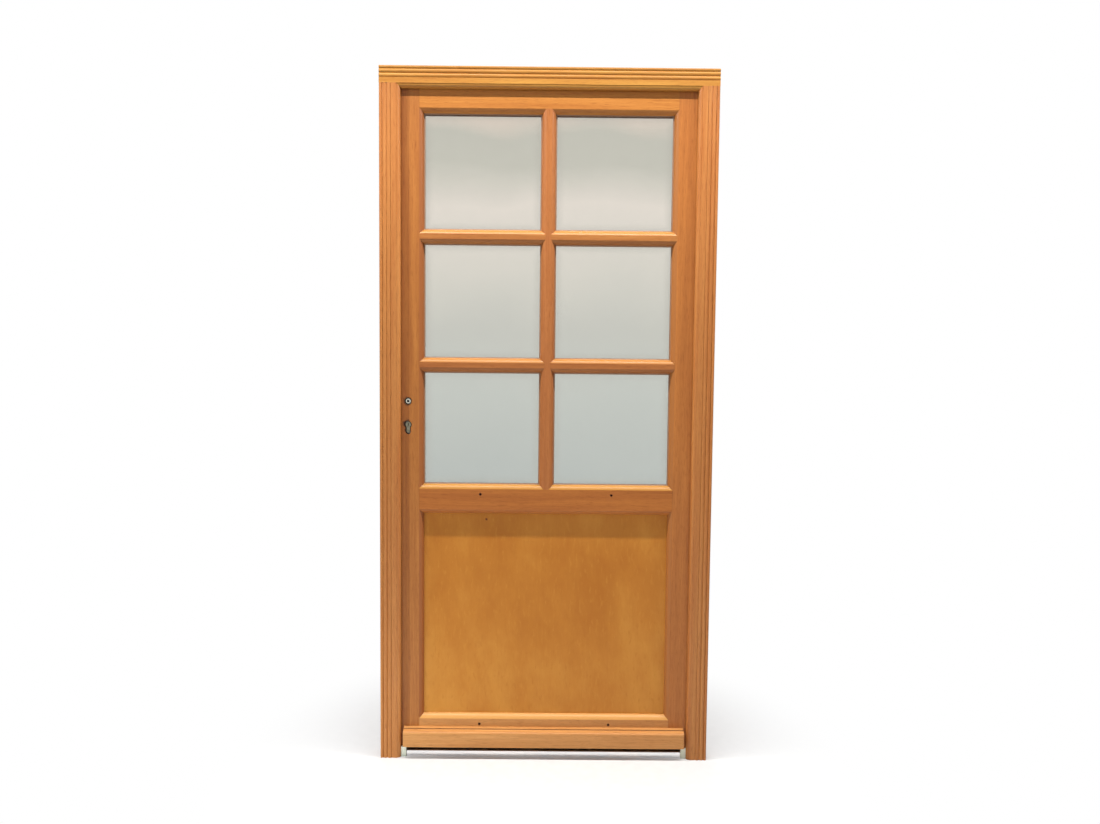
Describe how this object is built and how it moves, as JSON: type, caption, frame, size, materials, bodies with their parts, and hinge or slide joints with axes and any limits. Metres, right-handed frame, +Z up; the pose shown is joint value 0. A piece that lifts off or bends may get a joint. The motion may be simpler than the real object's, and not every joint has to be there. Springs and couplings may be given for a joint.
{
  "type": "panelled front door with frame",
  "caption": "Half-glazed panelled front door with weatherboard, hung in a reeded hardwood frame over an aluminium threshold, swinging inwards on barrel hinges, with a mortise lock",
  "frame": {"origin": "on the floor under the middle of the frame's width and depth", "axes": "+X to the right seen from outside, +Y into the building, +Z up"},
  "size_m": [1.01, 0.101, 2.1],
  "materials": {
    "varnished_hardwood": "satin varnish over reddish hardwood",
    "panel_veneer": "satin varnish over golden veneer",
    "pane_glass": "clear float glass",
    "spacer_metal": "plain",
    "mill_aluminium": "brushed",
    "pale_plastic": "moulded",
    "seal_rubber": "matt",
    "lock_steel": "zinc plated",
    "screw_steel": "zinc plated",
    "hinge_steel": "satin nickel",
    "follower_nickel": "nickel plated",
    "bolt_nickel": "nickel plated",
    "cylinder_nickel": "dull nickel"
  },
  "bodies": {
    "frame": {"frame_corner_screws": "screw_steel", "frame_head": "varnished_hardwood", "frame_jamb_hinge": "varnished_hardwood", "frame_jamb_lock": "varnished_hardwood", "frame_seal": "seal_rubber", "hinge_low_frame_half": "hinge_steel", "hinge_middle_frame_half": "hinge_steel", "hinge_pins": "hinge_steel", "hinge_top_frame_half": "hinge_steel", "strike_plate": "lock_steel", "strike_screws": "screw_steel", "threshold": "mill_aluminium", "threshold_end_block_hinge": "pale_plastic", "threshold_end_block_lock": "pale_plastic", "threshold_seal": "seal_rubber"},
    "leaf": {"beads_lower_left": "varnished_hardwood", "beads_lower_right": "varnished_hardwood", "beads_middle_left": "varnished_hardwood", "beads_middle_right": "varnished_hardwood", "beads_upper_left": "varnished_hardwood", "beads_upper_right": "varnished_hardwood", "bottom_rail": "varnished_hardwood", "cross_bar_lower_left": "varnished_hardwood", "cross_bar_lower_right": "varnished_hardwood", "cross_bar_upper_left": "varnished_hardwood", "cross_bar_upper_right": "varnished_hardwood", "cylinder_body": "cylinder_nickel", "cylinder_screw": "screw_steel", "forend": "lock_steel", "forend_screws": "screw_steel", "glass_lower_left": "pane_glass", "glass_lower_right": "pane_glass", "glass_middle_left": "pane_glass", "glass_middle_right": "pane_glass", "glass_spacers": "spacer_metal", "glass_upper_left": "pane_glass", "glass_upper_right": "pane_glass", "hinge_low_leaf_half": "hinge_steel", "hinge_middle_leaf_half": "hinge_steel", "hinge_stile": "varnished_hardwood", "hinge_top_leaf_half": "hinge_steel", "lock_case": "lock_steel", "lock_stile": "varnished_hardwood", "lower_panel": "panel_veneer", "mid_rail": "varnished_hardwood", "panel_beads": "varnished_hardwood", "top_rail": "varnished_hardwood", "upright_bar": "varnished_hardwood", "weatherboard": "varnished_hardwood", "weatherboard_screws": "screw_steel"},
    "follower": {"lock_follower": "follower_nickel"},
    "latch": {"latch_bolt": "bolt_nickel"},
    "plug": {"cylinder_plug": "cylinder_nickel", "cylinder_cam": "cylinder_nickel"},
    "deadbolt": {"deadbolt": "bolt_nickel"}
  },
  "joints": [
    {"name": "door_swing", "type": "hinge", "parent": "frame", "child": "leaf", "pos_m": [0.4555, 0.047, 1.05], "axis": [0, 0, -1], "range_deg": [0, 110]},
    {"name": "follower_turn", "type": "hinge", "parent": "leaf", "child": "follower", "pos_m": [-0.4225, 0.015, 1.107], "axis": [0, -1, 0], "range_deg": [0, 35]},
    {"name": "latch_slide", "type": "slide", "parent": "leaf", "child": "latch", "axis": [-1, 0, 0], "range_m": [0, 0.011]},
    {"name": "key_turn", "type": "hinge", "parent": "leaf", "child": "plug", "pos_m": [-0.4225, 0.015, 1.035], "axis": [0, -1, 0], "range_deg": [0, 80]},
    {"name": "deadbolt_slide", "type": "slide", "parent": "leaf", "child": "deadbolt", "axis": [-1, 0, 0], "range_m": [0, 0.02]}
  ],
  "couplings": [
    {"joint": "latch_slide", "follows": "follower_turn", "m_per_rad": 0.018007},
    {"joint": "deadbolt_slide", "follows": "key_turn", "m_per_rad": 0.014324}
  ]
}
